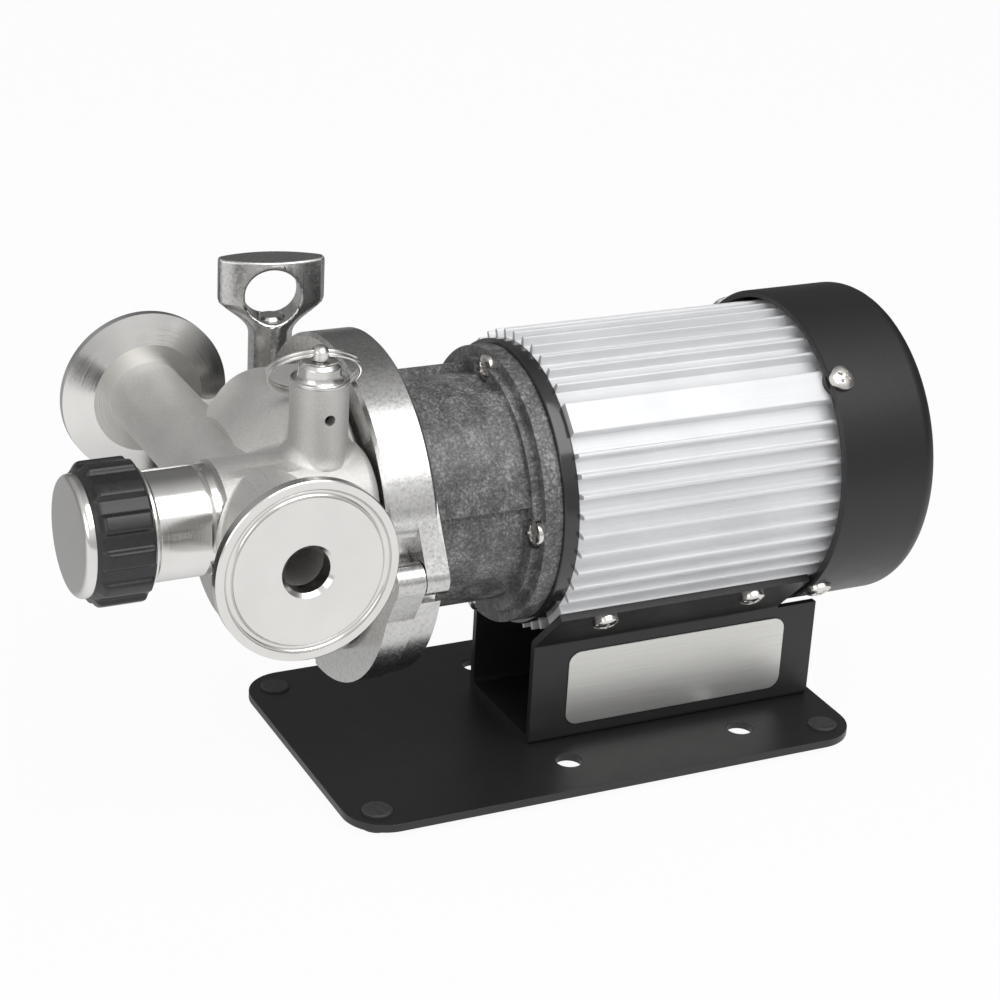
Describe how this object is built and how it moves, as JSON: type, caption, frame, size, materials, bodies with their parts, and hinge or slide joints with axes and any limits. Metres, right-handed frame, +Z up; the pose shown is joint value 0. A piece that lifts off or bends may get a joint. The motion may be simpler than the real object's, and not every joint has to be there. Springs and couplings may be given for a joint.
{
  "type": "magnetic drive brewing pump",
  "caption": "Small magnetic-drive brewing pump: stainless clamped head with flow valve, bleed valve and two ferrule ports, finned motor on a steel stand.",
  "frame": {"origin": "centre of the four mounting holes, on the underside of the base plate", "axes": "+X along the shaft from the pump head to the rear of the motor, +Z up, -Y towards the outlet port"},
  "size_m": [0.2725, 0.1389, 0.1446],
  "materials": {
    "powder_black": "satin black powder coat",
    "cap_black": "semi-gloss black powder coat",
    "gloss_black": "gloss black enamel",
    "rubber_black": "moulded black rubber",
    "nickel": "nickel plated",
    "silver_plate": "satin anodised sheet",
    "aluminium": "bright satin extrusion",
    "aluminium_cast": "die cast",
    "bearing_steel": "ground steel",
    "lamination": "stacked electrical steel",
    "copper": "enamelled copper wire",
    "black_polymer": "moulded polymer",
    "light_polymer": "moulded polymer",
    "polymer_charcoal": "glass-filled polymer, mottled charcoal",
    "ceramic_white": "ground ceramic",
    "magnet_dark": "coated magnet",
    "cast_stainless": "bead-blasted stainless casting",
    "machined_stainless": "turned stainless steel",
    "polished_stainless": "tumbled and polished stainless casting",
    "spring_steel": "drawn stainless wire",
    "seal_black": "elastomer seal",
    "seal_white": "elastomer gasket"
  },
  "bodies": {
    "pump": {"base_plate": "powder_black", "rubber_feet": "rubber_black", "pedestal": "powder_black", "pedestal_screws": "nickel", "nameplate": "silver_plate", "motor_housing": "aluminium", "front_shield": "gloss_black", "rear_shield": "aluminium_cast", "front_bearing": "bearing_steel", "rear_bearing": "bearing_steel", "stator_core": "lamination", "stator_windings": "copper", "rear_cap": "cap_black", "cap_screws": "nickel", "cord_gland": "black_polymer", "run_capacitor": "light_polymer", "adapter": "polymer_charcoal", "adapter_screws": "nickel", "isolation_can": "black_polymer", "spindle": "ceramic_white", "thrust_washers": "ceramic_white", "pump_head": "cast_stainless", "inlet_ferrule": "machined_stainless", "outlet_ferrule": "machined_stainless", "head_gasket": "seal_white", "valve_bonnet": "machined_stainless", "bonnet_seal": "seal_black", "bonnet_clip": "spring_steel", "bleed_cap": "machined_stainless", "bleed_spring": "spring_steel", "clamp_upper": "polished_stainless", "clamp_lower": "polished_stainless", "hinge_pin": "machined_stainless", "bolt_pin": "machined_stainless"},
    "rotor": {"rotor_core": "lamination", "motor_shaft": "bearing_steel", "drive_magnet": "magnet_dark"},
    "impeller": {"impeller": "black_polymer", "driven_magnet": "magnet_dark"},
    "knob": {"valve_spindle": "machined_stainless", "valve_knob": "machined_stainless", "knob_grip": "rubber_black"},
    "plug": {"valve_plug": "machined_stainless", "plug_seals": "seal_black"},
    "bleed": {"bleed_pin": "machined_stainless", "bleed_seal": "seal_black"},
    "ring": {"pull_ring": "spring_steel"},
    "bolt": {"swing_bolt": "machined_stainless"},
    "nut": {"wing_nut": "polished_stainless"}
  },
  "joints": [
    {"name": "rotor_spin", "type": "hinge", "parent": "pump", "child": "rotor", "pos_m": [0.0094, 0, 0.081], "axis": [1, 0, 0], "continuous": true},
    {"name": "impeller_spin", "type": "hinge", "parent": "pump", "child": "impeller", "pos_m": [-0.0806, 0, 0.081], "axis": [1, 0, 0], "continuous": true},
    {"name": "knob_turn", "type": "hinge", "parent": "pump", "child": "knob", "pos_m": [-0.1706, -0.031, 0.097], "axis": [1, 0, 0], "range_deg": [0, 1440]},
    {"name": "plug_travel", "type": "slide", "parent": "pump", "child": "plug", "axis": [1, 0, 0], "range_m": [0, 0.005]},
    {"name": "bleed_lift", "type": "slide", "parent": "pump", "child": "bleed", "axis": [0, 0, 1], "range_m": [0, 0.0025], "stiffness_N_per_m": 600, "springref_m": -0.002, "deforming": ["bleed_spring"]},
    {"name": "ring_swing", "type": "hinge", "parent": "bleed", "child": "ring", "pos_m": [-0.1122, -0.031, 0.1404], "axis": [0.9816, -0.1908, 0], "range_deg": [0, 285]},
    {"name": "bolt_swing", "type": "hinge", "parent": "pump", "child": "bolt", "pos_m": [-0.0906, 0.061, 0.072], "axis": [-1, 0, 0], "range_deg": [0, 70]},
    {"name": "wing_nut_spin", "type": "hinge", "parent": "bolt", "child": "nut", "pos_m": [-0.0906, 0.061, 0.111], "axis": [0, 0, 1], "continuous": true}
  ],
  "couplings": [
    {"joint": "impeller_spin", "follows": "rotor_spin", "ratio": 1},
    {"joint": "knob_turn", "follows": "plug_travel", "rad_per_m": 5026.5}
  ]
}
